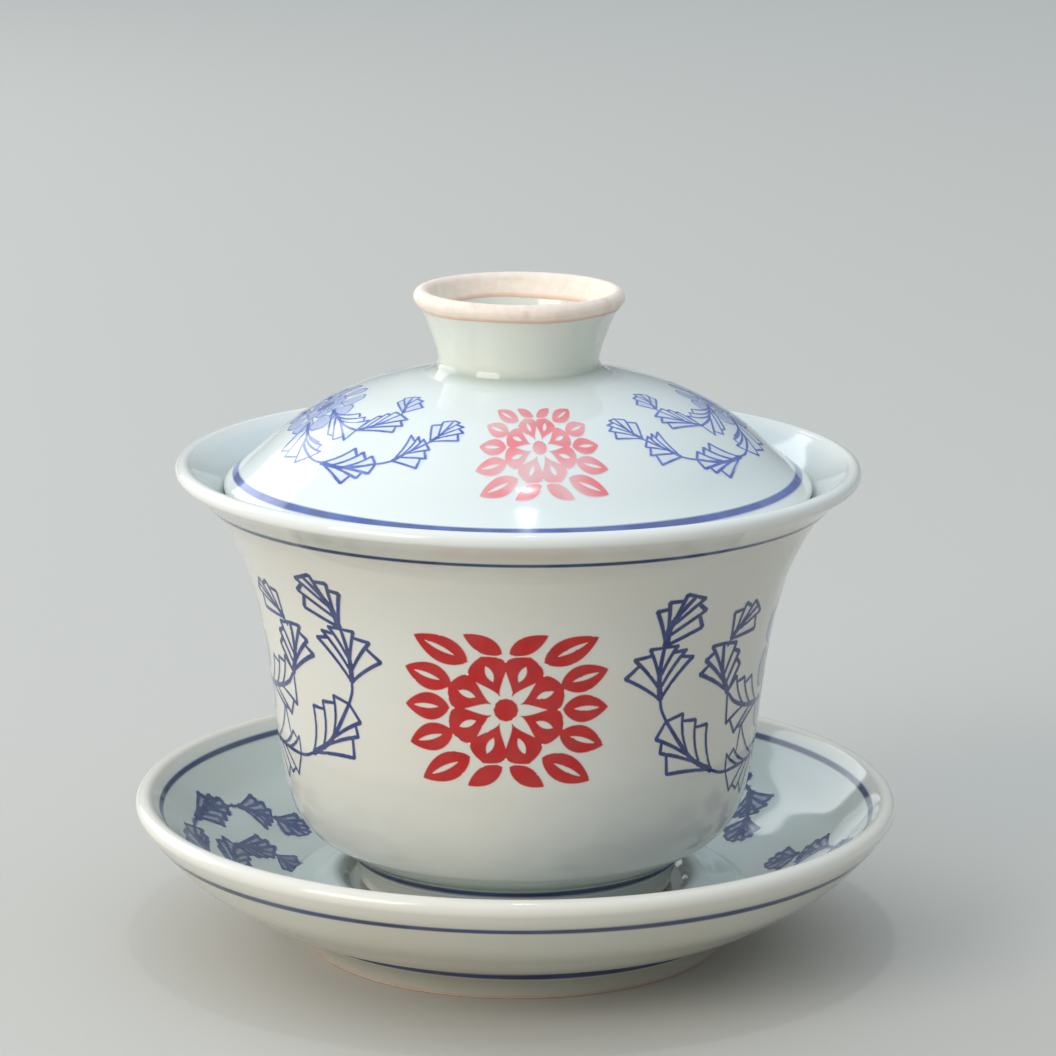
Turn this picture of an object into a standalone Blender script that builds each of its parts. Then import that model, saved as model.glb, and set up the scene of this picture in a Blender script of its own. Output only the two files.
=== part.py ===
"""Gaiwan: a porcelain tea bowl with a lid, standing on its saucer.

Three loose pieces of porcelain share one vertical axis. The saucer stands on the table, the bowl's
foot ring stands in the saucer's well, and the lid rests inside the bowl's flared mouth. The origin
is at the centre of the saucer's foot ring, on the table. Sizes in this script are in millimetres
until MM turns them into metres.
"""

import math

import bmesh
import bpy
from mathutils import Vector
from mathutils.geometry import interpolate_bezier

MM = 0.001
SEGMENTS = 40  # facets round each piece
TOUCH_GAP = 0.3  # left between pieces that rest on each other

# Saucer
SAUCER_RADIUS = 56.3
SAUCER_HEIGHT = 22.6
SAUCER_WALL = 2.8
SAUCER_FOOT_RADIUS = 30.9
SAUCER_FOOT_WIDTH = 2.6
SAUCER_RECESS = 4.6  # depth of the hollow inside the foot ring
WELL_RADIUS = 26.2
WELL_FLOOR = 8.4

# Bowl, with heights above its own foot ring
BOWL_RADIUS = 50.0
BOWL_HEIGHT = 63.8
BOWL_WALL = 2.4
BOWL_FOOT_RADIUS = 23.0
BOWL_FOOT_WIDTH = 2.6
BOWL_RECESS = 4.9
BOWL_FLOOR = 8.5  # inside, at the centre

# Lid, with heights above its own edge
LID_RADIUS = 42.95
LID_HEIGHT = 30.2
LID_WALL = 2.6
LID_SEAT = 58.7  # the lid's edge above the bowl's foot ring, when it rests in the mouth
DOME_INSIDE = 16.7  # inside, at the centre
KNOB_RADIUS = 15.35
KNOB_LIP = 1.15  # radius of the knob's rounded rim
KNOB_FLOOR = 20.8  # the bottom of the knob's hollow

GLAZE_WHITE = (0.78, 0.81, 0.77, 1.0)
GLAZE_BLUE_WHITE = (0.80, 0.85, 0.85, 1.0)
GLAZE_GREEN_WHITE = (0.70, 0.76, 0.73, 1.0)


def clear_scene():
    for obj in list(bpy.data.objects):
        bpy.data.objects.remove(obj)


def porcelain(name, color):
    material = bpy.data.materials.new(name)
    material.use_nodes = True
    shader = material.node_tree.nodes["Principled BSDF"]
    shader.inputs["Base Color"].default_value = color
    shader.inputs["Roughness"].default_value = 0.1
    shader.inputs["Metallic"].default_value = 0.0
    return material


def curve_through(points, steps):
    """A smooth curve through points of (radius, height), with steps segments in each span."""
    points = [Vector(point) for point in points]
    last = len(points) - 1
    tangents = [
        (points[min(i + 1, last)] - points[max(i - 1, 0)]).normalized() for i in range(last + 1)
    ]
    curve = [points[0]]
    for i in range(last):
        start = points[i]
        end = points[i + 1]
        reach = (end - start).length / 3
        span = interpolate_bezier(
            start, start + tangents[i] * reach, end - tangents[i + 1] * reach, end, steps + 1
        )
        curve += span[1:]
    return curve


def arc(centre, radius, start, end, steps):
    """Points round a centre of (radius, height), from one angle in degrees to another."""
    angles = [math.radians(start + (end - start) * i / steps) for i in range(steps + 1)]
    return [Vector(centre) + radius * Vector((math.cos(a), math.sin(a))) for a in angles]


def inner_face(curve, wall):
    """The outer face's curve moved in by the wall, and turned round to run back the other way."""
    moved = []
    for i, point in enumerate(curve):
        along = (curve[min(i + 1, len(curve) - 1)] - curve[max(i - 1, 0)]).normalized()
        moved.append(point + wall * Vector((-along.y, along.x)))
    return moved[::-1]


def foot_ring(radius, width, recess):
    """The outline from the axis, under the base, to the outer edge of the foot ring's flat face."""
    return [
        Vector((0, recess)),
        Vector((radius - width - 1.2, recess)),
        Vector((radius - width - 0.4, recess - 0.8)),
        Vector((radius - width, 0.4)),
        Vector((radius - width + 0.4, 0)),
        Vector((radius - 0.3, 0)),
        Vector((radius, 0.3)),
    ]


def saucer_outline():
    lip = SAUCER_WALL / 2
    lip_centre = (SAUCER_RADIUS - lip, SAUCER_HEIGHT - lip)
    foot = foot_ring(SAUCER_FOOT_RADIUS, SAUCER_FOOT_WIDTH, SAUCER_RECESS)
    rim = arc(lip_centre, lip, -40, 140, 6)
    underside = curve_through(
        [(34.2, 4.9), (40.0, 6.9), (45.2, 10.0), (49.6, 13.0), (53.3, 16.9), rim[0]], 2
    )
    dish = inner_face(underside, SAUCER_WALL)
    well = curve_through(
        [(33.2, 8.4), (30.0, 8.9), (27.5, 9.9), (WELL_RADIUS, 9.8), (WELL_RADIUS - 1.6, WELL_FLOOR)],
        2,
    )
    return foot + underside + rim[1:] + dish[1:-1] + well + [Vector((0, WELL_FLOOR))]


def bowl_outline():
    lip = BOWL_WALL / 2
    lip_centre = (BOWL_RADIUS - lip, BOWL_HEIGHT - lip)
    foot = foot_ring(BOWL_FOOT_RADIUS, BOWL_FOOT_WIDTH, BOWL_RECESS)
    foot_wall = [Vector((23.9, 3.4)), Vector((24.6, 5.0))]
    rim = arc(lip_centre, lip, -40, 140, 6)
    belly = [(27.2, 6.8), (31.0, 9.3), (33.4, 13.3), (34.9, 20.3), (36.1, 30.3)]
    flare = [(37.4, 39.3), (39.4, 47.3), (43.0, 55.0), (46.0, 58.8), rim[0]]
    outside = curve_through(belly + flare, 2)
    inside = inner_face(outside, BOWL_WALL)
    floor = [Vector((22.0, BOWL_FLOOR + 0.3)), Vector((12.0, BOWL_FLOOR)), Vector((0, BOWL_FLOOR))]
    return foot + foot_wall + outside + rim[1:] + inside[1:-1] + floor


def lid_outline():
    edge = LID_WALL / 2
    edge_round = arc((LID_RADIUS - edge, edge), edge, -135, 45, 6)
    dome = curve_through(
        [edge_round[-1], (38.2, 5.8), (34.8, 8.8), (30.4, 11.8), (24.5, 14.8), (18.1, 16.8), (13.4, 17.9)],
        2,
    )
    knob_rim = arc((KNOB_RADIUS - KNOB_LIP, LID_HEIGHT - KNOB_LIP), KNOB_LIP, -20, 160, 5)
    knob_side = curve_through([(12.1, 18.9), (11.75, 20.2), (12.8, 23.8), (14.1, 26.9), knob_rim[0]], 2)
    hollow = curve_through([(12.2, 27.0), (10.4, 23.3), (8.0, 21.5), (4.0, KNOB_FLOOR)], 2)
    underside = inner_face(dome[:-1], LID_WALL)[::-1]
    inside = [Vector((0, DOME_INSIDE)), Vector((8.0, DOME_INSIDE - 0.5))] + underside[:0:-1]
    outside = edge_round + dome[1:] + knob_side + knob_rim[1:] + hollow
    return inside + outside + [Vector((0, KNOB_FLOOR))]


def turned(name, outline, material, height, parent):
    """A closed solid of revolution about Z from an outline that starts and ends on the axis."""
    bm = bmesh.new()
    verts = [bm.verts.new((point.x * MM, 0, point.y * MM)) for point in outline]
    edges = [bm.edges.new(pair) for pair in zip(verts, verts[1:])]
    bmesh.ops.spin(
        bm,
        geom=verts + edges,
        axis=(0, 0, 1),
        cent=(0, 0, 0),
        angle=2 * math.pi,
        steps=SEGMENTS,
        use_merge=True,
    )
    bmesh.ops.remove_doubles(bm, verts=bm.verts, dist=1e-6)
    bmesh.ops.recalc_face_normals(bm, faces=bm.faces)
    mesh = bpy.data.meshes.new(name)
    bm.to_mesh(mesh)
    bm.free()
    mesh.shade_smooth()
    mesh.set_sharp_from_angle(angle=math.radians(50))
    mesh.materials.append(material)
    obj = bpy.data.objects.new(name, mesh)
    obj.location = (0, 0, height * MM)
    obj.parent = parent
    bpy.context.scene.collection.objects.link(obj)
    return obj


def main():
    clear_scene()
    gaiwan = bpy.data.objects.new("gaiwan", None)
    bpy.context.scene.collection.objects.link(gaiwan)
    bowl_height = WELL_FLOOR + TOUCH_GAP
    turned("saucer", saucer_outline(), porcelain("saucer_glaze", GLAZE_GREEN_WHITE), 0, gaiwan)
    turned("bowl", bowl_outline(), porcelain("bowl_glaze", GLAZE_WHITE), bowl_height, gaiwan)
    lid_glaze = porcelain("lid_glaze", GLAZE_BLUE_WHITE)
    turned("lid", lid_outline(), lid_glaze, bowl_height + LID_SEAT, gaiwan)


main()
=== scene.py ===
"""Looks of the gaiwan: glazed porcelain painted in cobalt and red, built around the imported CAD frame.

The object's sizes are in millimetres until MM turns them into metres, and the stage's are in metres.
The three pieces are turned from the same outlines as the CAD, only finer. A painted motif is drawn flat,
x along the glaze and y across it, joined into one sheet of ink, and laid on the turned surface as a skin
too thin to feel.
"""

import math
import random

import bpy
import numpy as np
from mathutils import Matrix, Vector
from mathutils.geometry import delaunay_2d_cdt, interpolate_bezier


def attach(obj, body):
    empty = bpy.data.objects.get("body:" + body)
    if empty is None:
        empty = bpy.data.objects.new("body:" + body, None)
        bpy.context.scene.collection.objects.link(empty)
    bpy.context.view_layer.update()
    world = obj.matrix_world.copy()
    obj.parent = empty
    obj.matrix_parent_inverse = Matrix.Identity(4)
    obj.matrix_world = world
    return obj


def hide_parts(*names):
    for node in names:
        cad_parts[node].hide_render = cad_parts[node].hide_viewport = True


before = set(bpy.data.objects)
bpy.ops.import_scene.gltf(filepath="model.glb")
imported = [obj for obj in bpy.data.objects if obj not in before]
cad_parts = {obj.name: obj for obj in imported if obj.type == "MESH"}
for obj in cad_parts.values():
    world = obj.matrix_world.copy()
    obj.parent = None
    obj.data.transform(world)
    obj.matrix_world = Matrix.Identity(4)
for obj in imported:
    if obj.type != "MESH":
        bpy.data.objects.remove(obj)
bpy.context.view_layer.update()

MM = 0.001
SEGMENTS = 240  # facets round each piece
BOWL_SEAT = 8.7  # height of the bowl's foot ring above the table
LID_SEAT = 67.4  # height of the lid's edge above the table

# Saucer
SAUCER_RADIUS = 56.3
SAUCER_HEIGHT = 22.6
SAUCER_WALL = 2.8
SAUCER_FOOT_RADIUS = 30.9
SAUCER_FOOT_TOP = (34.2, 4.9)  # radius and height where the foot ring meets the underside
SAUCER_RECESS = 4.6  # depth of the hollow inside the foot ring
WELL_RADIUS = 26.2
WELL_FLOOR = 8.4

# Bowl, with heights above its own foot ring
BOWL_RADIUS = 50.0
BOWL_HEIGHT = 63.8
BOWL_WALL = 2.4
BOWL_FOOT_RADIUS = 23.0
BOWL_FOOT_TOP = (23.9, 3.4)
BOWL_RECESS = 4.9
BOWL_FLOOR = 8.5

# Lid, with heights above its own edge
LID_RADIUS = 42.95
LID_HEIGHT = 30.2
LID_WALL = 2.6
DOME_INSIDE = 16.7
KNOB_RADIUS = 15.35
KNOB_LIP = 1.15
KNOB_FOOT = 18.9  # where the knob rises from the dome
KNOB_FLOOR = 20.8

FOOT_WIDTH = 2.6

# Centres of the rounded lips
SAUCER_LIP = (SAUCER_RADIUS - SAUCER_WALL / 2, SAUCER_HEIGHT - SAUCER_WALL / 2)
BOWL_LIP = (BOWL_RADIUS - BOWL_WALL / 2, BOWL_HEIGHT - BOWL_WALL / 2)
LID_LIP = (LID_RADIUS - LID_WALL / 2, LID_WALL / 2)

# Paint
LIFT = 0.03  # the paint's face above the glaze
SINK = 0.05  # the paint's back below the glaze
FACET = 1.2  # longest step along a painted edge, so that it follows the round


# ---------------------------------------------------------------- outlines


def curve_through(points, steps):
    """A smooth curve through points of (radius, height), with steps segments in each span."""
    points = [Vector(point) for point in points]
    last = len(points) - 1
    tangents = [
        (points[min(i + 1, last)] - points[max(i - 1, 0)]).normalized() for i in range(last + 1)
    ]
    curve = [points[0]]
    for i in range(last):
        start = points[i]
        end = points[i + 1]
        reach = (end - start).length / 3
        handles = (start + tangents[i] * reach, end - tangents[i + 1] * reach)
        curve += interpolate_bezier(start, *handles, end, steps + 1)[1:]
    return curve


def arc(centre, radius, start, end, steps):
    """Points round a centre of (radius, height), from one angle in degrees to another."""
    angles = [math.radians(start + (end - start) * i / steps) for i in range(steps + 1)]
    return [Vector(centre) + radius * Vector((math.cos(a), math.sin(a))) for a in angles]


def inner_face(curve, wall):
    """The outer face's curve moved in by the wall, and turned round to run back the other way."""
    moved = []
    for i, point in enumerate(curve):
        along = (curve[min(i + 1, len(curve) - 1)] - curve[max(i - 1, 0)]).normalized()
        moved.append(point + wall * Vector((-along.y, along.x)))
    return moved[::-1]


def rounded(points, radius, steps=5):
    """A line through points with each corner between its ends rounded off."""
    points = [Vector(point) for point in points]
    line = [points[0]]
    for before, corner, after in zip(points, points[1:], points[2:]):
        cut = min(radius, (before - corner).length * 0.45, (after - corner).length * 0.45)
        start = corner + (before - corner).normalized() * cut
        end = corner + (after - corner).normalized() * cut
        line += interpolate_bezier(start, start.lerp(corner, 0.55), end.lerp(corner, 0.55), end, steps)
    return line + [points[-1]]


def foot_ring(radius, recess, after):
    """The underside from the axis to the outer edge of the foot ring's flat face, and on to after."""
    inner = radius - FOOT_WIDTH
    corners = [(0, recess), (inner - 1.2, recess), (inner, 0), (radius, 0), after]
    return rounded(corners, 0.5)[:-1]


def raised(points, height):
    """Points of (radius, height) moved up."""
    return [Vector((p[0], p[1] + height)) for p in points]


SAUCER_FOOT = foot_ring(SAUCER_FOOT_RADIUS, SAUCER_RECESS, SAUCER_FOOT_TOP)
SAUCER_RIM = arc(SAUCER_LIP, SAUCER_WALL / 2, -40, 140, 18)
SAUCER_UNDERSIDE = curve_through(
    [SAUCER_FOOT_TOP, (40.0, 6.9), (45.2, 10.0), (49.6, 13.0), (53.3, 16.9), SAUCER_RIM[0]], 10
)
SAUCER_DISH = inner_face(SAUCER_UNDERSIDE, SAUCER_WALL)[1:-1]
SAUCER_WELL = curve_through(
    [(33.2, 8.4), (30.0, 8.9), (27.5, 9.9), (WELL_RADIUS, 9.8), (WELL_RADIUS - 1.6, WELL_FLOOR)], 8
)

BOWL_FOOT = foot_ring(BOWL_FOOT_RADIUS, BOWL_RECESS, BOWL_FOOT_TOP)
BOWL_RIM = arc(BOWL_LIP, BOWL_WALL / 2, -40, 140, 18)
BOWL_OUTSIDE = curve_through(
    [
        (27.2, 6.8),
        (31.0, 9.3),
        (33.4, 13.3),
        (34.9, 20.3),
        (36.1, 30.3),
        (37.4, 39.3),
        (39.4, 47.3),
        (43.0, 55.0),
        (46.0, 58.8),
        BOWL_RIM[0],
    ],
    10,
)

LID_EDGE = arc(LID_LIP, LID_WALL / 2, -135, 45, 18)
LID_DOME = curve_through(
    [LID_EDGE[-1], (38.2, 5.8), (34.8, 8.8), (30.4, 11.8), (24.5, 14.8), (18.1, 16.8), (13.4, 17.9)], 10
)
KNOB_STEPS = 7
KNOB_RIM = arc((KNOB_RADIUS - KNOB_LIP, LID_HEIGHT - KNOB_LIP), KNOB_LIP, -20, 160, 2 * KNOB_STEPS)
KNOB_SIDE = curve_through(
    [(12.1, KNOB_FOOT), (11.75, 20.2), (12.8, 23.8), (14.1, 26.9), KNOB_RIM[0]], KNOB_STEPS
)
KNOB_HOLLOW = curve_through(
    [KNOB_RIM[-1], (12.2, 27.0), (10.4, 23.3), (8.0, 21.5), (4.0, KNOB_FLOOR)], KNOB_STEPS
)


def saucer_outline():
    outside = SAUCER_FOOT + SAUCER_UNDERSIDE + SAUCER_RIM[1:]
    return outside + SAUCER_DISH + SAUCER_WELL + [Vector((0, WELL_FLOOR))]


def bowl_outline():
    foot_wall = curve_through([BOWL_FOOT_TOP, (24.6, 5.0), BOWL_OUTSIDE[0]], 5)[:-1]
    inside = inner_face(BOWL_OUTSIDE, BOWL_WALL)[1:-1]
    floor = curve_through([(22.0, BOWL_FLOOR + 0.3), (12.0, BOWL_FLOOR), (0, BOWL_FLOOR)], 3)
    outline = BOWL_FOOT + foot_wall + BOWL_OUTSIDE + BOWL_RIM[1:] + inside + floor
    return raised(outline, BOWL_SEAT)


def lid_outline():
    underside = inner_face(LID_DOME[:-1], LID_WALL)[::-1]
    inside = [Vector((0, DOME_INSIDE)), Vector((8.0, DOME_INSIDE - 0.5))] + underside[:0:-1]
    knob = KNOB_SIDE + KNOB_RIM[1:] + KNOB_HOLLOW[1:] + [Vector((0, KNOB_FLOOR))]
    return raised(inside + LID_EDGE + LID_DOME[1:] + knob, LID_SEAT)


# ---------------------------------------------------------------- turned surfaces

# Slow unevenness of the hand-turned walls: for each piece, (waves round, size, turn, waves up)
UNEVEN = {
    "saucer": [(2, 0.10, 0.6, 0.010), (3, 0.05, 2.1, 0.030)],
    "bowl": [(2, 0.07, 1.9, 0.012), (3, 0.05, 0.4, 0.035), (5, 0.02, 3.0, 0.060)],
    "lid": [(2, 0.06, 2.6, 0.015), (3, 0.04, 1.2, 0.040)],
}


def on_round(piece, azimuth, radius, height):
    """Points in millimetres at azimuths, radii and heights, with the piece's unevenness."""
    swell = sum(
        size * np.sin(waves * azimuth + turn + rise * height)
        for waves, size, turn, rise in UNEVEN[piece]
    )
    swelled = radius + swell * np.clip(radius / 20, 0, 1)
    return np.stack([swelled * np.cos(azimuth), swelled * np.sin(azimuth), height + 0 * swelled], -1)


class Skin:
    """One face of a turned piece, measured across from the start of its curve."""

    def __init__(self, piece, curve, reference):
        self.piece = piece
        self.curve = np.array(curve)
        steps = np.linalg.norm(np.diff(self.curve, axis=0), axis=1)
        self.across = np.concatenate([[0], np.cumsum(steps)])
        self.reference = reference  # x / reference is the angle round

    def ring(self, y):
        return np.interp(y, self.across, self.curve[:, 0]), np.interp(y, self.across, self.curve[:, 1])

    def at(self, azimuth, y):
        """Points and outward normals."""
        nudge = 0.05
        point = on_round(self.piece, azimuth, *self.ring(y))
        round_on = on_round(self.piece, azimuth + 0.002, *self.ring(y)) - point
        up = on_round(self.piece, azimuth, *self.ring(y + nudge))
        down = on_round(self.piece, azimuth, *self.ring(y - nudge))
        normal = np.cross(round_on, up - down)
        return point, normal / np.linalg.norm(normal, axis=-1, keepdims=True)


def new_object(name, points, faces, normals, values):
    """A smooth mesh piece from points in millimetres, with its own normals and named point values."""
    mesh = bpy.data.meshes.new(name)
    mesh.from_pydata((points * MM).tolist(), [], faces)
    mesh.shade_smooth()
    mesh.normals_split_custom_set_from_vertices(normals.tolist())
    for key, value in values.items():
        layer = mesh.attributes.new(key, "FLOAT", "POINT")
        layer.data.foreach_set("value", np.asarray(value, np.float32))
    obj = bpy.data.objects.new(name, mesh)
    bpy.context.scene.collection.objects.link(obj)
    return obj


def near(outline, spots, reach):
    """For each point of an outline, 1 at the spots of (radius, height), fading to 0 at reach."""
    away = [np.hypot(outline[:, 0] - spot[0], outline[:, 1] - spot[1]) for spot in spots]
    share = np.clip(1 - np.min(away, axis=0) / reach, 0, 1)
    return share * share * (3 - 2 * share)


def turned(name, piece, outline, values):
    """A closed solid of revolution from an outline that starts and ends on the axis."""
    outline = np.array(outline)
    ring = outline[1:-1]
    azimuth = np.arange(SEGMENTS) * 2 * math.pi / SEGMENTS
    grid = on_round(piece, azimuth[None, :], ring[:, :1], ring[:, 1:])
    rows = len(ring)
    count = rows * SEGMENTS
    points = np.concatenate([grid.reshape(-1, 3), [[0, 0, outline[0, 1]], [0, 0, outline[-1, 1]]]])
    faces = []
    for j in range(SEGMENTS):
        k = (j + 1) % SEGMENTS
        faces.append((count, k, j))
        for i in range(rows - 1):
            low = i * SEGMENTS
            high = low + SEGMENTS
            faces.append((low + j, low + k, high + k, high + j))
        faces.append((count + 1, count - SEGMENTS + j, count - SEGMENTS + k))
    round_on = np.roll(grid, -1, axis=1) - np.roll(grid, 1, axis=1)
    steps = np.diff(grid, axis=0)
    first = np.cross(round_on[:1], grid[:1] * [1, 1, 0])
    last = np.cross(round_on[-1:], -grid[-1:] * [1, 1, 0])
    before = np.concatenate([first, np.cross(round_on[1:], steps)])
    after = np.concatenate([np.cross(round_on[:-1], steps), last])
    normals = (before + after).reshape(-1, 3)
    normals /= np.linalg.norm(normals, axis=-1, keepdims=True)
    normals = np.concatenate([normals, [[0, 0, -1], [0, 0, 1]]])
    spread = {key: np.append(np.repeat(v[1:-1], SEGMENTS), [v[0], v[-1]]) for key, v in values.items()}
    return new_object(name, points, faces, normals, spread)


def band(name, bands, painted_light_tint=0.0):
    """Thin closed rings laid on skins. Each of bands is (skin, middle, half width, fringe, waver)."""
    azimuth = np.arange(SEGMENTS * 2) * math.pi / SEGMENTS
    around = len(azimuth)
    all_points, all_normals, all_faces, inks = [], [], [], []
    for skin, middle, half, fringe, (sway, turn, other_turn, swell) in bands:
        centre = middle + sway * (np.sin(azimuth + turn) + 0.5 * np.sin(3 * azimuth + other_turn))
        width = half * (1 + swell * (np.sin(2 * azimuth + turn) + np.sin(5 * azimuth + other_turn)))
        count = max(3, math.ceil(2 * half / 0.25))
        offsets = [-1] + [-1 + fringe + (2 - 2 * fringe) * i / count for i in range(count + 1)] + [1]
        ink = [0] + [1] * (count + 1) + [0]
        rings = [skin.at(azimuth, centre + width * offset) for offset in offsets]
        rows = [(point + normal * LIFT, normal) for point, normal in rings]
        rows += [(point - normal * SINK, -normal) for point, normal in reversed(rings)]
        start = len(inks)
        for i, (point, normal) in enumerate(rows):
            low = start + i * around
            high = start + (i + 1) % len(rows) * around
            all_points.append(point)
            all_normals.append(normal)
            for j in range(around):
                k = (j + 1) % around
                all_faces.append((low + j, low + k, high + k, high + j))
        inks += [value for value in ink + ink[::-1] for _ in range(around)]
    # The glaze round the paint takes one of the piece's two tints of painted light and shade: 0 for the
    # painted side, 1 for the other.
    values = {"ink": inks, "painted_light_tint": np.full(len(inks), painted_light_tint)}
    return new_object(name, np.concatenate(all_points), all_faces, np.concatenate(all_normals), values)


# ---------------------------------------------------------------- flat drawings


def bent(start, end, bend, steps):
    """A line from start to end that bows sideways by a share of its length."""
    start = Vector(start)
    end = Vector(end)
    side = Vector((start.y - end.y, end.x - start.x)) * bend
    handles = (start.lerp(end, 0.33) + side, start.lerp(end, 0.67) + side)
    return interpolate_bezier(start, *handles, end, steps)


def polar(base, degrees, length):
    """The point a length away from base."""
    angle = math.radians(degrees)
    return Vector(base) + length * Vector((math.cos(angle), math.sin(angle)))


def disc(centre, radius):
    """A closed round of 12 points."""
    return [polar(centre, 30 * i, radius) for i in range(12)]


def leaf_outline(base, tip, width, fullest=0.5, step=0.9):
    """A closed leaf or petal, widest at a share of the way to its tip, with points a step apart."""
    base = Vector(base)
    along = Vector(tip) - base
    side = Vector((-along.y, along.x)).normalized() * width / 2
    power = math.log(0.5) / math.log(fullest)
    steps = max(6, round(along.length / step))
    shares = [i / steps for i in range(steps + 1)]
    half = [math.sin(math.pi * share**power) ** 0.8 for share in shares[1:-1]]
    left = [base + along * t + side * h for t, h in zip(shares[1:-1], half)]
    right = [base + along * t - side * h for t, h in zip(shares[1:-1], half)]
    return [base] + right + [Vector(tip)] + left[::-1]


class Drawing:
    """Flat shapes of ink. A shape fades out over its fringe, and a cut takes ink away."""

    def __init__(self, brush, fringe, weld):
        self.brush = brush  # usual width of a line
        self.fringe = fringe
        self.weld = weld  # points nearer than this become one
        self.points = []
        self.faces = []
        self.inks = []  # one a face: 0 in a shape's fringe, None in a cut, "rim" in a cut's fringe

    def face(self, outline, ink):
        """outline runs anticlockwise. It is stored from the middle of one side, away from sharp ends."""
        start = len(self.points)
        turn = len(outline) // 4
        self.points += outline[turn:] + outline[:turn]
        self.faces.append(list(range(start, len(self.points))))
        self.inks.append(ink)

    def shape(self, outline, ink):
        """outline runs anticlockwise."""
        outline = [Vector(p) for p in outline]
        count = len(outline)
        sides = []
        for i in range(count):
            along = (outline[(i + 1) % count] - outline[i - 1]).normalized()
            sides.append(Vector((along.y, -along.x)))
        outer = [p + s * self.fringe for p, s in zip(outline, sides)]
        inner = [p - s * self.fringe for p, s in zip(outline, sides)]
        if ink is None:
            self.face(inner, None)
            self.face(outer, "rim")
        else:
            self.face(outer, 0)
            self.face(inner, ink)

    def ribbon(self, path, halves, grow):
        """The outline of a line of half widths round path, with all of it grown sideways."""
        last = len(path) - 1
        left, right = [], []
        for i, (point, half) in enumerate(zip(path, halves)):
            along = (path[min(i + 1, last)] - path[max(i - 1, 0)]).normalized()
            reach = max(half + grow, half * 0.3)
            side = Vector((-along.y, along.x)) * reach
            left.append(point + side)
            right.append(point - side)
            if i == 0:
                tail = point - along * reach * 0.8
            if i == last:
                nose = point + along * reach * 0.8
        return right + [nose] + left[::-1] + [tail]

    def stroke(self, path, start=1.0, end=1.0, ink=1.0):
        """A brush line along path, with its width at either end as a share of the brush."""
        path = [Vector(p) for p in path]
        spaced = [path[0]]
        for point in path[1:]:
            before = spaced[-1]
            pieces = math.ceil((point - before).length / FACET)
            spaced += [before.lerp(point, (i + 1) / pieces) for i in range(pieces)]
        last = len(spaced) - 1
        halves = [self.brush / 2 * (start + (end - start) * i / last) for i in range(last + 1)]
        self.face(self.ribbon(spaced, halves, self.fringe), 0)
        self.face(self.ribbon(spaced, halves, -self.fringe), ink)

    def mirrored(self):
        """Adds the drawing's mirror image, left for right."""
        count = len(self.points)
        self.points += [Vector((-p.x, p.y)) for p in self.points]
        self.faces += [[count + i for i in reversed(face)] for face in self.faces]
        self.inks += self.inks

    def joined(self):
        """The drawing as one sheet: points, triangles, and the ink at each point."""
        low = np.min(self.points, axis=0)
        high = np.max(self.points, axis=0)
        fill = []
        row = 0
        y = low[1]
        while y < high[1]:
            x = low[0] + FACET / 2 * (row % 2)
            while x < high[0]:
                fill.append(Vector((x, y)))
                x += FACET
            y += FACET * 0.87
            row += 1
        made = delaunay_2d_cdt(self.points + fill, [], self.faces, 0, self.weld, True)
        points, _, triangles, _, _, sources = made
        kept = []
        ink = np.zeros(len(points))
        bare = np.zeros(len(points), bool)
        for polygon, source in zip(triangles, sources):
            found = [self.inks[i] for i in source]
            solid = [value for value in found if isinstance(value, (int, float))]
            if None in found:
                bare[polygon] = True
            elif solid:
                kept += [(polygon[0], b, c) for b, c in zip(polygon[1:], polygon[2:])]
                ink[polygon] = np.maximum(ink[polygon], max(solid))
        ink[bare] = 0
        return np.array(points), np.array(kept), ink


def laid(name, drawing, skin, places):
    """One piece: the drawing laid on a skin at each of places.

    A place is an azimuth in degrees, a shift up the skin, and a lean to the side as a share of height.
    """
    flat, triangles, ink = drawing.joined()
    used = np.unique(triangles)
    order = np.full(len(flat), -1)
    order[used] = np.arange(len(used))
    flat, ink, triangles = flat[used], ink[used], order[triangles]
    count = len(flat)
    rise = flat[:, 1] - flat[:, 1].mean()
    edges = {}
    for a, b, c in triangles.tolist():
        for edge in ((a, b), (b, c), (c, a)):
            edges[edge] = True
    border = [edge for edge in edges if (edge[1], edge[0]) not in edges]
    points, normals, faces = [], [], []
    for i, (azimuth, shift, lean) in enumerate(places):
        turn = math.radians(azimuth) + (flat[:, 0] + lean * rise) / skin.reference
        top, normal = skin.at(turn, flat[:, 1] + shift)
        points += [top + normal * LIFT, top - normal * SINK]
        normals += [normal, -normal]
        start = i * 2 * count
        faces += (triangles + start).tolist()
        faces += (triangles[:, ::-1] + start + count).tolist()
        faces += [(b + start, a + start, a + start + count, b + start + count) for a, b in border]
    inks = np.tile(ink, 2 * len(places))
    return new_object(name, np.concatenate(points), faces, np.concatenate(normals), {"ink": inks})


def leaf(drawing, midrib, left, right, brush=1.0, bow=0.0, wash=0.0):
    """A painted leaf: side veins run from its pointed corners back to the midrib.

    left and right are the corners on either side of the midrib, from the base to the crown.
    """
    spine = curve_through(midrib, 4)
    tip = spine[-1]
    joints = {}
    for side, corners in (("left", left), ("right", right)):
        for i in range(len(corners)):
            place = 0.62 * i / len(corners) * (len(spine) - 1)
            step = int(place)
            joints[side, i] = spine[step].lerp(spine[step + 1], place - step)
    if wash:
        drawing.shape([spine[0]] + list(right) + [tip] + list(left)[::-1], wash)
    drawing.stroke(spine, 1.7 * brush, 1.0 * brush)
    for side, corners, bend in (("left", left, bow), ("right", right, -0.04)):
        for i, corner in enumerate(corners):
            joint = joints[side, i]
            vein = bent(corner, joint, bend, 6)
            drawing.stroke(vein, random.uniform(0.95, 1.2) * brush, 0.85 * brush)
            if i + 1 < len(corners):
                onward = Vector(corners[i + 1])
                back = joints[side, i + 1] - onward
                notch = onward + back.normalized() * min(1.2, back.length * 0.2)
                drawing.stroke([corner, notch], 1.1 * brush, 0.9 * brush)
        drawing.stroke([corners[-1], tip], 1.0 * brush, 0.9 * brush)


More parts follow.
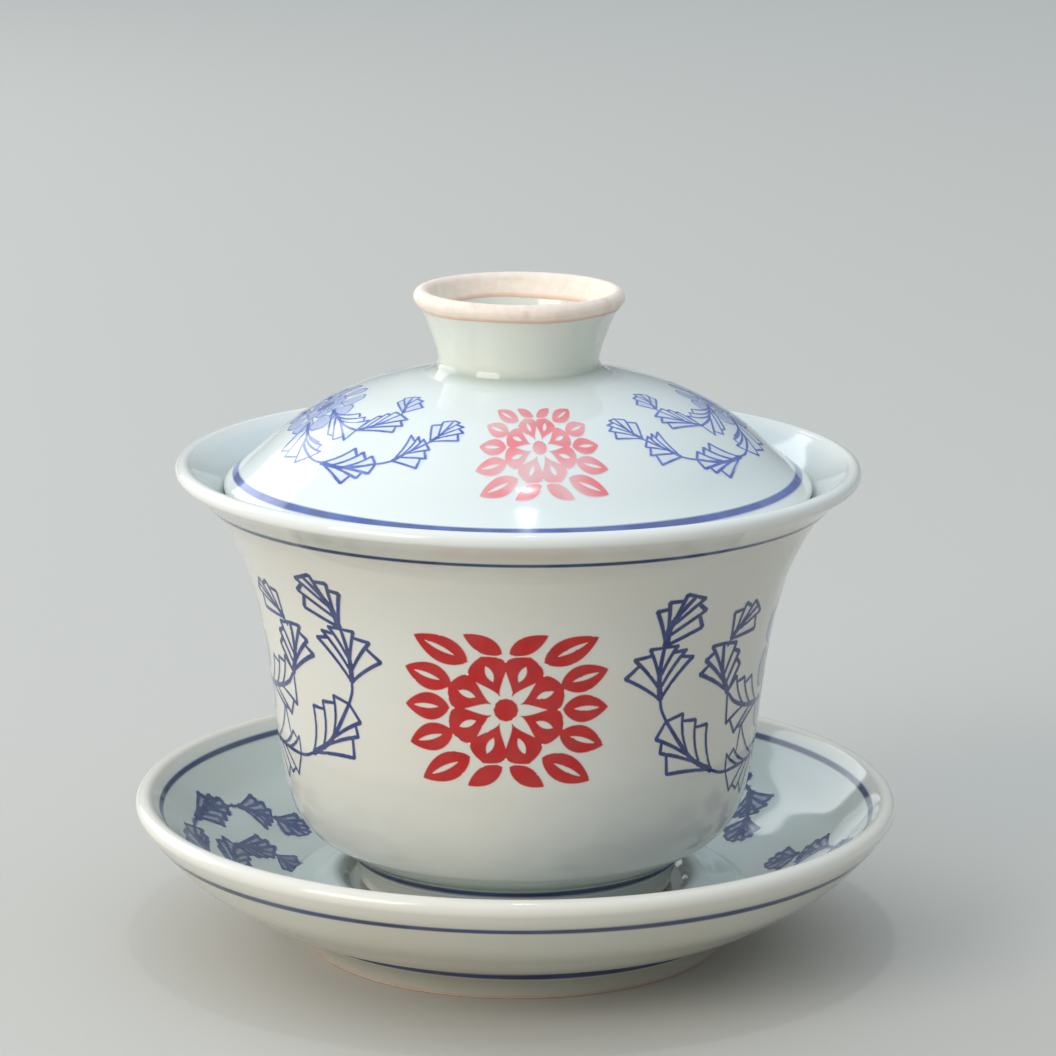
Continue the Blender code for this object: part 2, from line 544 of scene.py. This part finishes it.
def petal(drawing, centre, reach, near_end, far_end, width):
    """A washed petal with an outline and three streaks, pointing away from a flower's centre."""
    base = centre + reach * near_end
    tip = centre + reach * far_end
    outline = leaf_outline(base, tip, width, 0.64)
    drawing.shape(outline, 0.45)
    half = len(outline) // 2
    drawing.stroke(outline[: half + 1], 0.7, 0.8, 0.85)
    drawing.stroke(outline[half:] + outline[:1], 0.8, 0.7, 0.85)
    for turn in (-0.13, 0.0, 0.13):
        streak = centre + Vector((reach.x - reach.y * turn, reach.y + reach.x * turn)) * far_end
        drawing.stroke([base.lerp(streak, 0.1), base.lerp(streak, 0.68)], 0.8, 0.4, 0.6)


def flower(drawing, centre, size, outer, inner):
    """Petals of the flower at the middle of a spray, in directions of the outer and inner round.

    size is how far the outer petals reach to the side and upwards.
    """
    centre = Vector(centre)
    broad = (size[0] + size[1]) / 22
    for directions, near_end, far_end, width in ((outer, 0.42, 1.0, 5.4), (inner, 0.14, 0.5, 3.6)):
        for direction in directions:
            angle = math.radians(direction)
            reach = Vector((math.cos(angle) * size[0], math.sin(angle) * size[1]))
            petal(drawing, centre, reach, near_end, far_end, width * broad)


# Leaves of half a spray: midrib, corners on its left, corners on its right, brush, bow, wash
BOWL_LEAVES = [
    ([(33.7, 42.2), (33.0, 45.5), (29.6, 49.9)], [(27.6, 44.2), (27.4, 47.0), (28.0, 49.2)],
     [(35.4, 48.1), (33.7, 49.5), (31.1, 50.5)], 1.35, 0.0, 0.0),
    ([(34.5, 33.8), (34.6, 37.5), (33.9, 41.9)], [(28.8, 39.7), (30.1, 41.0), (31.6, 41.9)],
     [(40.0, 37.7), (38.5, 40.5), (36.1, 41.9)], 1.15, 0.05, 0.0),
    ([(24.0, 20.9), (28.4, 23.4), (30.8, 26.2), (33.5, 30.3)], [(25.3, 28.4), (27.8, 29.6), (30.4, 31.0)],
     [(33.6, 22.1), (34.7, 25.5), (35.4, 27.8)], 1.1, 0.12, 0.0),
    ([(21.0, 40.9), (19.4, 42.4), (15.0, 45.0)], [(14.6, 41.1), (13.9, 43.8)],
     [(21.2, 45.2), (18.7, 46.3), (16.3, 46.1)], 1.2, 0.0, 0.0),
    ([(20.6, 32.4), (22.2, 35.6), (22.5, 40.5)], [(17.7, 36.2), (18.3, 38.3), (19.4, 40.0)],
     [(27.2, 36.5), (26.2, 38.5), (25.0, 40.5)], 1.3, 0.0, 0.0),
    ([(9.0, 28.2), (14.0, 28.8), (18.4, 30.4), (20.6, 32.4)], [(12.8, 33.2), (15.6, 33.6), (18.2, 34.4)],
     [(15.3, 26.0), (17.9, 25.4), (20.5, 27.4)], 1.1, 0.14, 0.0),
    ([(8.0, 19.6), (13.5, 19.6), (19.9, 19.7)], [(15.4, 26.3), (17.6, 22.7), (19.8, 22.4)],
     [(12.2, 14.3), (14.9, 15.7), (17.9, 16.1)], 1.0, 0.16, 0.0),
]
BOWL_STEMS = [
    [(1.0, 16.4), (4.0, 18.6), (8.0, 19.6)],
    [(19.9, 19.7), (22.0, 20.1), (24.0, 20.9)],
    [(33.5, 30.3), (34.3, 32.2), (34.5, 33.8)],
    [(33.9, 41.5), (33.7, 42.4)],
    [(3.0, 27.6), (6.0, 28.0), (9.0, 28.2)],
    [(21.6, 39.9), (21.0, 40.9)],
]

LID_LEAVES = [
    ([(30.7, 17.5), (31.8, 19.6), (32.4, 22.8)], [(29.1, 21.1), (30.6, 22.2)],
     [(34.9, 18.2), (35.2, 20.0), (34.8, 21.4), (33.7, 22.4)], 1.0, 0.0, 0.12),
    ([(26.9, 12.8), (28.3, 14.7), (30.3, 17.0)], [(26.9, 18.4), (28.3, 18.3), (29.4, 17.9)],
     [(30.8, 12.0), (31.5, 14.0), (31.3, 15.8)], 1.0, 0.1, 0.1),
    ([(16.4, 10.0), (20.5, 10.1), (24.9, 11.8)], [(19.8, 13.9), (21.7, 13.5), (23.5, 13.1)],
     [(21.8, 7.5), (23.5, 8.8), (24.8, 9.9)], 1.15, 0.12, 0.12),
    ([(16.4, 17.2), (19.0, 19.2), (21.2, 22.5)], [(17.1, 21.0), (18.2, 22.0), (19.4, 22.8)],
     [(23.4, 18.4), (24.0, 20.0), (23.7, 21.6)], 1.1, 0.0, 0.15),
    ([(21.2, 23.0), (19.2, 25.3), (17.4, 27.5)], [(16.2, 25.2), (15.9, 26.6)],
     [(23.6, 25.2), (21.6, 26.9), (19.2, 27.8)], 1.0, 0.0, 0.3),
    ([(4.5, 18.8), (9.5, 18.1), (13.0, 17.4), (16.4, 17.2)], [(12.4, 20.4), (14.7, 20.1), (16.5, 19.8)],
     [(11.9, 14.9), (14.2, 14.3), (16.4, 14.8)], 1.0, 0.12, 0.1),
    ([(3.6, 14.8), (7.2, 13.5), (9.5, 11.8), (13.4, 10.3)], [(12.1, 13.1), (13.2, 12.8), (14.4, 11.7)],
     [(6.1, 9.1), (8.3, 8.7), (11.6, 8.6)], 1.0, 0.08, 0.1),
]
LID_STEMS = [
    [(13.4, 10.3), (14.8, 10.0), (16.4, 10.0)],
    [(24.9, 11.8), (25.9, 12.2), (26.9, 12.8)],
    [(30.3, 17.0), (30.7, 17.5)],
    [(21.2, 22.4), (21.2, 23.1)],
]


def spray(leaves, stems, brush, fringe, centre, size, scale=(1, 1), rise=0.0, wash=0.0):
    """A whole spray: half of it drawn, mirrored, and the flower's middle petals added."""
    drawing = Drawing(brush, fringe, weld=0.02)
    flower(drawing, centre, size, (50, 13, -24, -60), (70, 27, -18, -66))
    for midrib, left, right, weight, bow, own_wash in leaves:
        leaf(drawing, midrib, left, right, weight, bow, own_wash + wash)
    for points in stems:
        drawing.stroke(curve_through(points, 5))
    drawing.mirrored()
    flower(drawing, centre, size, (90, -90), ())
    drawing.shape(disc(centre, 1.5), 0.9)
    for point in drawing.points:
        point.x *= scale[0]
        point.y = point.y * scale[1] + rise
    return drawing


# Leaves round half a blossom: base, tip, width
BLOSSOM_LEAVES = [
    ((8.0, 0.0), (14.6, 0.0), 4.2),
    ((7.6, 3.6), (14.2, 5.8), 4.2),
    ((7.6, -3.6), (14.2, -5.8), 4.2),
    ((5.2, 7.2), (12.4, 11.0), 4.2),
    ((5.2, -7.2), (12.4, -11.0), 4.2),
    ((0.5, 8.6), (5.6, 11.6), 2.8),
    ((0.5, -8.6), (5.6, -11.6), 2.8),
]
BLOSSOM_PETALS = 8
BLOSSOM_STEP = 0.4  # between points of its outlines


def blossom(centre, scale, fringe):
    """A cut-paper blossom between leaves, the same on the left and the right."""
    drawing = Drawing(0.8, fringe, weld=1e-5)
    middle = Vector((0, 0))
    for i in range(BLOSSOM_PETALS):
        angle = 360 / BLOSSOM_PETALS * (i + 0.5)
        base, tip = (polar(middle, angle, reach) for reach in (2.2, 8.8))
        drawing.shape(leaf_outline(base, tip, 5.6, 0.68, BLOSSOM_STEP), 1.0)
        base, tip = (polar(middle, angle, reach) for reach in (4.6, 7.2))
        drawing.shape(leaf_outline(base, tip, 1.0, 0.5, BLOSSOM_STEP), None)
    drawing.shape(disc(middle, 1.75), 1.0)
    for side in (-1, 1):
        for near_end, far_end, width in BLOSSOM_LEAVES:
            base = Vector((near_end[0] * side, near_end[1]))
            tip = Vector((far_end[0] * side, far_end[1]))
            drawing.shape(leaf_outline(base, tip, width, 0.45, BLOSSOM_STEP), 1.0)
            if width > 3:
                slit = leaf_outline(base.lerp(tip, 0.25), base.lerp(tip, 0.8), 0.7, 0.5, BLOSSOM_STEP)
                drawing.shape(slit, None)
    for point in drawing.points:
        point.x = point.x * scale[0] + centre[0]
        point.y = point.y * scale[1] + centre[1]
    return drawing


# ---------------------------------------------------------------- materials


class Nodes:
    """A short way to add linked shader nodes to a material."""

    def __init__(self, name):
        self.material = bpy.data.materials.new(name)
        self.material.use_nodes = True
        self.tree = self.material.node_tree
        self.shader = self.tree.nodes["Principled BSDF"]
        self.place = self.add("ShaderNodeTexCoord", "Object")

    def add(self, kind, output, settings=None, **inputs):
        node = self.tree.nodes.new(kind)
        for key, value in (settings or {}).items():
            setattr(node, key, value)
        for key, value in inputs.items():
            self.set(node.inputs[key.replace("_", " ")], value)
        return node.outputs[output]

    def set(self, socket, value):
        if isinstance(value, bpy.types.NodeSocket):
            self.tree.links.new(value, socket)
        else:
            socket.default_value = value

    def noise(self, size, detail=2.0):
        """Soft noise from 0 to 1 with features of a size in millimetres."""
        return self.add(
            "ShaderNodeTexNoise", "Fac", Vector=self.place, Scale=1 / (size * MM), Detail=detail
        )

    def ramp(self, value, low, high, to_low=0.0, to_high=1.0):
        """value taken from low..high to to_low..to_high, and held there."""
        node = self.tree.nodes.new("ShaderNodeMapRange")
        node.interpolation_type = "SMOOTHSTEP"
        self.set(node.inputs["Value"], value)
        limits = {"From Min": low, "From Max": high, "To Min": to_low, "To Max": to_high}
        for key, number in limits.items():
            node.inputs[key].default_value = number
        return node.outputs["Result"]

    def math(self, operation, a, b):
        node = self.tree.nodes.new("ShaderNodeMath")
        node.operation = operation
        self.set(node.inputs[0], a)
        self.set(node.inputs[1], b)
        return node.outputs[0]

    def mix(self, share, a, b):
        node = self.tree.nodes.new("ShaderNodeMix")
        node.data_type = "RGBA"
        self.set(node.inputs[0], share)
        self.set(node.inputs[6], a)
        self.set(node.inputs[7], b)
        return node.outputs[2]

    def value(self, key):
        return self.add("ShaderNodeAttribute", "Fac", {"attribute_name": key})


def srgb(red, green, blue):
    """A colour of 0 to 255 as the linear colour a shader takes."""
    channels = [c / 255 for c in (red, green, blue)]
    return tuple(c / 12.92 if c <= 0.04045 else ((c + 0.055) / 1.055) ** 2.4 for c in channels) + (1.0,)


def gloss(nodes, roughness):
    """The shine and the slightly rippled surface of a melted glaze."""
    nodes.shader.inputs["Roughness"].default_value = roughness
    nodes.shader.inputs["IOR"].default_value = 1.5
    ripple = nodes.add(
        "ShaderNodeBump", "Normal", Strength=0.05, Distance=0.2 * MM, Height=nodes.noise(7.0, 1.0)
    )
    nodes.set(nodes.shader.inputs["Normal"], ripple)


GLAZE_ROUGHNESS = 0.09
GLAZES = {  # where it is painted, on the piece's other side, where it pools, and where it thins. The first two are tints of painted light and shade: cool where lit from above, warmer or darker where lit from the front or shaded. The pooled colour is glaze pooling darkened by painted shade
    "saucer": (srgb(203, 214, 210), srgb(206, 202, 186), srgb(88, 94, 66), srgb(240, 235, 226)),
    "bowl": (srgb(219, 214, 201), srgb(214, 222, 220), srgb(118, 146, 130), srgb(240, 235, 226)),
    "lid": (srgb(222, 228, 225), srgb(219, 220, 206), srgb(160, 170, 158), srgb(238, 232, 222)),
}


def glaze_colour(nodes, piece):
    """White porcelain under a clear glaze that is a little uneven and has a few specks. It has two tints
    of painted light and shade, and it pools in corners, where it is darkened as painted shade.
    """
    painted, other, pooled_and_shaded, thinned = GLAZES[piece]
    # Painted light: the glaze takes a cool tint on one side and a warmer or darker tint on the other.
    colour = nodes.mix(nodes.value("painted_light_tint"), painted, other)
    cloud = nodes.ramp(nodes.noise(28.0), 0.3, 0.7, 0.0, 0.5)
    colour = nodes.mix(cloud, colour, nodes.mix(0.5, painted, other))
    # Glaze pooling in corners and recesses, darkened further as painted shade.
    colour = nodes.mix(nodes.math("MULTIPLY", nodes.value("pool_and_painted_shade"), 0.75), colour, pooled_and_shaded)
    colour = nodes.mix(nodes.math("MULTIPLY", nodes.value("edge"), 0.8), colour, thinned)
    cells = nodes.tree.nodes.new("ShaderNodeTexVoronoi")
    nodes.set(cells.inputs["Vector"], nodes.place)
    cells.inputs["Scale"].default_value = 1 / (5.0 * MM)
    speck = nodes.ramp(cells.outputs["Distance"], 0.05, 0.02)
    chance = nodes.add("ShaderNodeSeparateColor", "Red", Color=cells.outputs["Color"])
    speck = nodes.math("MULTIPLY", speck, nodes.ramp(chance, 0.90, 0.92, 0.0, 0.6))
    return nodes.mix(speck, colour, srgb(110, 95, 75))


def glaze(piece):
    nodes = Nodes(piece + "_glaze")
    nodes.set(nodes.shader.inputs["Base Color"], glaze_colour(nodes, piece))
    gloss(nodes, GLAZE_ROUGHNESS)
    return nodes.material


def paint(name, piece, dark, light, strength, patches=2.2, roughness=GLAZE_ROUGHNESS, wash=None):
    """Paint on the glaze: patchy where the brush left more or less, and soft at its edge.

    strength is the least and the most cover, and patches the size of its patches in millimetres.
    Where the ink is thin it takes the colour of the wash.
    """
    nodes = Nodes(name)
    patch = nodes.ramp(nodes.noise(patches, 4.0), 0.3, 0.7, strength[0], strength[1])
    share = nodes.math("MULTIPLY", nodes.value("ink"), patch)
    pigment = nodes.mix(nodes.ramp(nodes.noise(patches / 2, 3.0), 0.35, 0.7), dark, light)
    if wash:
        pigment = nodes.mix(nodes.ramp(nodes.value("ink"), 0.5, 0.8), wash, pigment)
    colour = nodes.mix(share, glaze_colour(nodes, piece), pigment)
    nodes.set(nodes.shader.inputs["Base Color"], colour)
    gloss(nodes, roughness)
    return nodes.material


def bare(name):
    """Unglazed porcelain with tan flashing where the glaze stops."""
    nodes = Nodes(name)
    mottle = nodes.ramp(nodes.noise(1.5, 4.0), 0.3, 0.7)
    body = nodes.mix(mottle, srgb(246, 231, 216), srgb(240, 221, 204))
    blush = nodes.math("SUBTRACT", 1.0, nodes.value("ink"))
    stains = nodes.ramp(nodes.noise(3.5, 3.0), 0.6, 0.76, 0.0, 0.3)
    tan = nodes.math("MAXIMUM", nodes.math("MULTIPLY", blush, 0.75), stains)
    colour = nodes.mix(tan, body, srgb(205, 150, 105))
    nodes.set(nodes.shader.inputs["Base Color"], colour)
    nodes.shader.inputs["Roughness"].default_value = 0.62
    grain = nodes.add(
        "ShaderNodeBump", "Normal", Strength=0.25, Distance=0.1 * MM, Height=nodes.noise(0.35, 3.0)
    )
    nodes.set(nodes.shader.inputs["Normal"], grain)
    return nodes.material


# ---------------------------------------------------------------- pieces


def finish_piece(obj, body, material, slot, *replaced):
    obj.data.materials.append(material)
    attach(obj, body)
    if replaced:
        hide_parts(*replaced)


def glaze_values(outline, other_side, lip, lip_reach, corners, corner_reach):
    """Where the glaze is thin, round a lip, and where it has pooled in corners, which are darkened there
    as painted shade.

    other_side is true at the points of the outline that take the glaze's other tint of painted light and
    shade.
    """
    points = np.array(outline)
    return {
        # which of the two tints of painted light and shade each point takes
        "painted_light_tint": other_side * 1.0,
        "edge": near(points, lip, lip_reach),
        # glaze pooling in corners, darkened further as painted shade
        "pool_and_painted_shade": near(points, corners, corner_reach),
    }


def saucer_body():
    outline = saucer_outline()
    # The underside takes the glaze's darker, warmer tint: painted shade.
    under = np.arange(len(outline)) < outline.index(SAUCER_DISH[0])
    # In the well and where the underside meets the foot ring, the pooled glaze is darkened as painted
    # shade.
    corners = [(WELL_RADIUS - 0.8, WELL_FLOOR), (WELL_RADIUS - 2.4, WELL_FLOOR), (33.6, 4.3)]
    values = glaze_values(outline, under, [SAUCER_LIP], 3.6, corners, 2.8)
    saucer = turned("saucer_body", "saucer", outline, values)
    finish_piece(saucer, "saucer", glaze("saucer"), "saucer_glaze", "saucer")


def bowl_body():
    outline = bowl_outline()
    # The inside takes the glaze's cooler tint, painted light from above, and the outside takes a warm
    # tint, painted front light.
    inside = np.arange(len(outline)) > len(outline) * 0.5
    # Where the foot meets the body, the glaze pools green and is darkened further as painted shade.
    corners = raised([(24.6, 5.0), (26.0, 5.9)], BOWL_SEAT)
    values = glaze_values(outline, inside, raised([BOWL_LIP], BOWL_SEAT), 3.0, corners, 3.4)
    bowl = turned("bowl_body", "bowl", outline, values)
    finish_piece(bowl, "bowl", glaze("bowl"), "bowl_glaze", "bowl")


def lid_body():
    outline = lid_outline()
    # The dome takes the glaze's cooler tint and the knob the warmer one: painted light.
    knob = np.array([point[1] > LID_SEAT + KNOB_FOOT for point in outline])
    # At the knob's foot and in its hollow, the pooled glaze is greyed as painted shade.
    corners = raised([(12.1, 18.6), (8.0, 21.0)], LID_SEAT)
    values = glaze_values(outline, knob, raised([LID_LIP], LID_SEAT), 2.4, corners, 2.0)
    lid = turned("lid_body", "lid", outline, values)
    finish_piece(lid, "lid", glaze("lid"), "lid_glaze", "lid")


# The skins that paint and bare porcelain lie on, each with the radius that its drawings are made for
FOOT_WALL = curve_through([(23.4, 1.5), BOWL_FOOT_TOP, (24.6, 5.0), BOWL_OUTSIDE[0]], 5)
KNOB_TOP = KNOB_SIDE[-12:] + KNOB_RIM[1:] + KNOB_HOLLOW[1 : 2 * KNOB_STEPS + 1]
bowl_skin = Skin("bowl", raised(BOWL_OUTSIDE, BOWL_SEAT), 37.0)
bowl_foot_skin = Skin("bowl", raised(FOOT_WALL, BOWL_SEAT), 24.0)
bowl_base_skin = Skin("bowl", raised(BOWL_FOOT + FOOT_WALL[1:3], BOWL_SEAT), 24.0)
lid_skin = Skin("lid", raised(LID_DOME, LID_SEAT), 30.0)
knob_skin = Skin("lid", raised(KNOB_TOP, LID_SEAT), 14.0)
dish_skin = Skin("saucer", SAUCER_DISH + SAUCER_WELL, 42.0)
underside_skin = Skin("saucer", SAUCER_FOOT[-4:] + SAUCER_UNDERSIDE, 42.0)
saucer_base_skin = Skin("saucer", SAUCER_FOOT + [Vector(SAUCER_FOOT_TOP)], 42.0)

# Two colours of each paint, which it varies between
COBALT = (srgb(32, 34, 88), srgb(42, 70, 128))
LID_COBALT = (srgb(60, 80, 160), srgb(90, 118, 198))
SAUCER_COBALT = (srgb(22, 38, 92), srgb(38, 66, 126))
LINE_COBALT = (srgb(36, 46, 88), srgb(52, 72, 120))
LID_LINE_COBALT = (srgb(66, 80, 142), srgb(90, 110, 178))
RED = (srgb(176, 8, 10), srgb(192, 20, 18))
LID_RED = (srgb(226, 84, 94), srgb(236, 124, 132))
RED_ROUGHNESS = 0.16
LINE_STRENGTH = (0.92, 1.0)
LINE_PATCHES = 8.0

# Where each painted motif's middle stands: azimuth in degrees, a shift up the glaze, and a lean
BOWL_SPRAYS = ((178.1, 0.0, 0.0), (357.2, -1.8, -0.13))
BOWL_BLOSSOMS = ((267.9, 0.0, 0.0), (87.5, 0.2, 0.0))
LID_SPRAYS = ((186.1, 0.0, 0.0), (6.1, 0.0, 0.0))
LID_BLOSSOMS = ((276.1, 0.0, 0.0), (96.4, 0.1, 0.0))
SAUCER_SPRAYS = ((198, 0.0, 0.0), (78, 0.3, 0.0), (318, -0.2, 0.0))

# The flower in a spray: its centre, and how far it reaches to the side and upwards
BOWL_FLOWER = ((0, 30.5), (9.5, 14.5))
LID_FLOWER = ((0, 18.2), (9.5, 6.6))


def across_to(skin, height):
    """How far across a skin its curve reaches a height."""
    return float(np.interp(height, skin.curve[:, 1], skin.across))


def across_at(skin, point):
    """How far across a skin its curve comes nearest to a point of (radius, height)."""
    away = np.hypot(skin.curve[:, 0] - point[0], skin.curve[:, 1] - point[1])
    return float(skin.across[np.argmin(away)])


def line_pieces():
    """The blue lines: round the bowl below its lip and on its foot, round the lid and the saucer."""
    on_bowl = paint("cobalt_line_on_bowl", "bowl", *LINE_COBALT, LINE_STRENGTH, LINE_PATCHES)
    on_lid = paint("cobalt_line_on_lid", "lid", *LID_LINE_COBALT, LINE_STRENGTH, LINE_PATCHES)
    on_saucer = paint("cobalt_line_on_saucer", "saucer", *LINE_COBALT, LINE_STRENGTH, LINE_PATCHES)
    bowl_lines = band("bowl_lines", [
        (bowl_skin, across_to(bowl_skin, BOWL_SEAT + 58.5), 0.56, 0.5, (0.05, 0.4, 1.0, 0.08)),
        (bowl_foot_skin, across_to(bowl_foot_skin, BOWL_SEAT + 4.9), 1.15, 0.6, (0.04, 2.0, 0.3, 0.08)),
    ])
    finish_piece(bowl_lines, "bowl", on_bowl, "cobalt_paint")
    lid_line = band("lid_line", [(lid_skin, 1.9, 0.75, 0.4, (0.14, 2.2, 0.9, 0.10))])
    finish_piece(lid_line, "lid", on_lid, "cobalt_paint")
    saucer_line = band("saucer_line", [(dish_skin, 1.6, 0.6, 0.5, (0.05, 0.8, 2.4, 0.10))])
    finish_piece(saucer_line, "saucer", on_saucer, "cobalt_paint")
    # These lie on the underside, so the glaze round them takes the darker, warmer tint of painted shade.
    outer_lines = band("saucer_outer_lines", [
        (underside_skin, across_to(underside_skin, 17.7), 0.78, 0.5, (0.05, 1.7, 0.6, 0.10)),
        (underside_skin, across_to(underside_skin, 4.3), 0.8, 0.5, (0.04, 2.9, 1.5, 0.10)),
    ], painted_light_tint=1.0)
    finish_piece(outer_lines, "saucer", on_saucer, "cobalt_paint")


def spray_pieces():
    """The blue sprays. The saucer's are the lid's, drawn with a broader and wetter brush."""
    on_bowl = paint("cobalt_on_bowl", "bowl", *COBALT, (0.94, 1.0), wash=srgb(70, 104, 182))
    on_lid = paint("cobalt_on_lid", "lid", *LID_COBALT, (0.88, 1.0), wash=srgb(84, 112, 204))
    on_saucer = paint("cobalt_on_saucer", "saucer", *SAUCER_COBALT, (0.88, 1.0), wash=srgb(44, 76, 150))
    drawing = spray(BOWL_LEAVES, BOWL_STEMS, 0.55, 0.09, *BOWL_FLOWER)
    sprays = laid("bowl_sprays", drawing, bowl_skin, BOWL_SPRAYS)
    finish_piece(sprays, "bowl", on_bowl, "cobalt_paint")
    drawing = spray(LID_LEAVES, LID_STEMS, 0.41, 0.08, *LID_FLOWER)
    sprays = laid("lid_sprays", drawing, lid_skin, LID_SPRAYS)
    finish_piece(sprays, "lid", on_lid, "cobalt_paint")
    drawing = spray(
        LID_LEAVES, LID_STEMS, 0.95, 0.25, *LID_FLOWER, scale=(1.1, 1.0), rise=-2.0, wash=0.5
    )
    for i, place in enumerate(SAUCER_SPRAYS):
        sprays = laid(f"saucer_spray_{i + 1}", drawing, dish_skin, [place])
        finish_piece(sprays, "saucer", on_saucer, "cobalt_paint")


def blossom_pieces():
    """The red blossoms, full size on the bowl and flatter and paler on the lid."""
    on_bowl = paint("red_on_bowl", "bowl", *RED, (0.97, 1.0), 3.0, RED_ROUGHNESS)
    on_lid = paint("red_on_lid", "lid", *LID_RED, (0.5, 0.95), 5.0, RED_ROUGHNESS)
    blossoms = laid("bowl_blossoms", blossom((0, 32.0), (1.0, 1.0), 0.09), bowl_skin, BOWL_BLOSSOMS)
    finish_piece(blossoms, "bowl", on_bowl, "red_enamel")
    blossoms = laid("lid_blossoms", blossom((0, 17.3), (0.6, 0.85), 0.1), lid_skin, LID_BLOSSOMS)
    finish_piece(blossoms, "lid", on_lid, "red_enamel")


def bare_ring(name, body, material, skin, start, end):
    """Unglazed porcelain between two distances across a skin."""
    ring = band(name, [(skin, (start + end) / 2, (end - start) / 2, 0.22, (0.1, 0.5, 1.4, 0.03))])
    finish_piece(ring, body, material, "bare_porcelain")


def bare_pieces():
    """The bare rim of the knob, and the bare foot rings."""
    material = bare("bare_porcelain")
    rim_start, rim_end = raised([KNOB_RIM[0], KNOB_RIM[-1]], LID_SEAT)
    start = across_at(knob_skin, rim_start) - 1.2
    end = across_at(knob_skin, rim_end) + 2.8
    bare_ring("knob_rim", "lid", material, knob_skin, start, end)
    for name, body, skin, radius, seat, past in (
        ("bowl_foot", "bowl", bowl_base_skin, BOWL_FOOT_RADIUS, BOWL_SEAT, 0.3),
        ("saucer_foot", "saucer", saucer_base_skin, SAUCER_FOOT_RADIUS, 0.0, 0.5),
    ):
        start = across_at(skin, (radius - FOOT_WIDTH, seat + 0.4))
        end = across_at(skin, (radius, seat + 0.3)) + past
        bare_ring(name, body, material, skin, start, end)


random.seed(4)
saucer_body()
bowl_body()
lid_body()
line_pieces()
spray_pieces()
blossom_pieces()
bare_pieces()


# ---------------------------------------------------------------- stage, light and camera

FLOOR_SIZE = 16.0  # in metres, as are the lights' and the camera's places


def floor():
    mesh = bpy.data.meshes.new("floor")
    half = FLOOR_SIZE / 2
    corners = [(-half, -half, 0), (half, -half, 0), (half, half, 0), (-half, half, 0)]
    mesh.from_pydata(corners, [], [(0, 1, 2, 3)])
    nodes = Nodes("pale_floor")
    nodes.shader.inputs["Base Color"].default_value = srgb(194, 190, 182)
    nodes.shader.inputs["Roughness"].default_value = 0.7
    mesh.materials.append(nodes.material)
    obj = bpy.data.objects.new("floor", mesh)
    bpy.context.scene.collection.objects.link(obj)


def softbox(name, place, size, power, colour, shape="RECTANGLE"):
    """An area light of a size in metres, aimed at the middle of the object."""
    light = bpy.data.lights.new(name, "AREA")
    light.shape = shape
    light.size, light.size_y = size
    light.energy = power
    light.color = colour
    obj = bpy.data.objects.new(name, light)
    obj.location = place
    aim = Vector((0, 0, 0.05)) - Vector(place)
    obj.rotation_euler = aim.to_track_quat("-Z", "Y").to_euler()
    bpy.context.scene.collection.objects.link(obj)


def studio():
    """A soft surround, dim at the horizon and bright and cool overhead."""
    world = bpy.data.worlds.new("studio")
    world.use_nodes = True
    tree = world.node_tree
    place = tree.nodes.new("ShaderNodeTexCoord")
    parts = tree.nodes.new("ShaderNodeSeparateXYZ")
    rise = tree.nodes.new("ShaderNodeMapRange")
    rise.interpolation_type = "SMOOTHSTEP"
    rise.inputs["From Min"].default_value = -0.1
    rise.inputs["From Max"].default_value = 0.95
    glow = tree.nodes.new("ShaderNodeMix")
    glow.data_type = "RGBA"
    glow.inputs[6].default_value = (0.15, 0.15, 0.145, 1.0)
    glow.inputs[7].default_value = (0.87, 0.98, 1.09, 1.0)
    tree.links.new(place.outputs["Generated"], parts.inputs[0])
    tree.links.new(parts.outputs["Z"], rise.inputs["Value"])
    tree.links.new(rise.outputs["Result"], glow.inputs[0])
    tree.links.new(glow.outputs[2], tree.nodes["Background"].inputs["Color"])
    bpy.context.scene.world = world


def camera():
    """The camera of the photo's view: where it stands, and how it is turned, in degrees."""
    place = (0.0026, -0.6070, 0.2018)
    down, left, roll = (math.radians(angle) for angle in (12.970, 0.106, 0.416))
    data = bpy.data.cameras.new("camera")
    data.sensor_width = 36.0
    data.lens = 144.85
    obj = bpy.data.objects.new("camera", data)
    level = math.cos(down)
    forward = Vector((-math.sin(left) * level, math.cos(left) * level, -math.sin(down)))
    right = forward.cross(Vector((0, 0, 1))).normalized()
    up = right.cross(forward)
    turned_right = math.cos(roll) * right + math.sin(roll) * up
    turned_up = -math.sin(roll) * right + math.cos(roll) * up
    turn = Matrix((turned_right, turned_up, -forward)).transposed()
    obj.matrix_world = Matrix.Translation(place) @ turn.to_4x4()
    bpy.context.scene.collection.objects.link(obj)
    bpy.context.scene.camera = obj


floor()
softbox("front", (-1.1, -1.0, 0.7), (0.9, 0.9), 14.5, (1.0, 0.96, 0.90))
softbox("lamp", (0.03, -0.1, 1.1), (0.045, 0.022), 0.65, (0.90, 0.96, 1.0), "ELLIPSE")
softbox("back", (-1.0, 0.75, 0.5), (1.2, 0.8), 7.5, (0.92, 0.97, 1.0))
studio()
camera()
bpy.context.scene.view_settings.view_transform = "Standard"
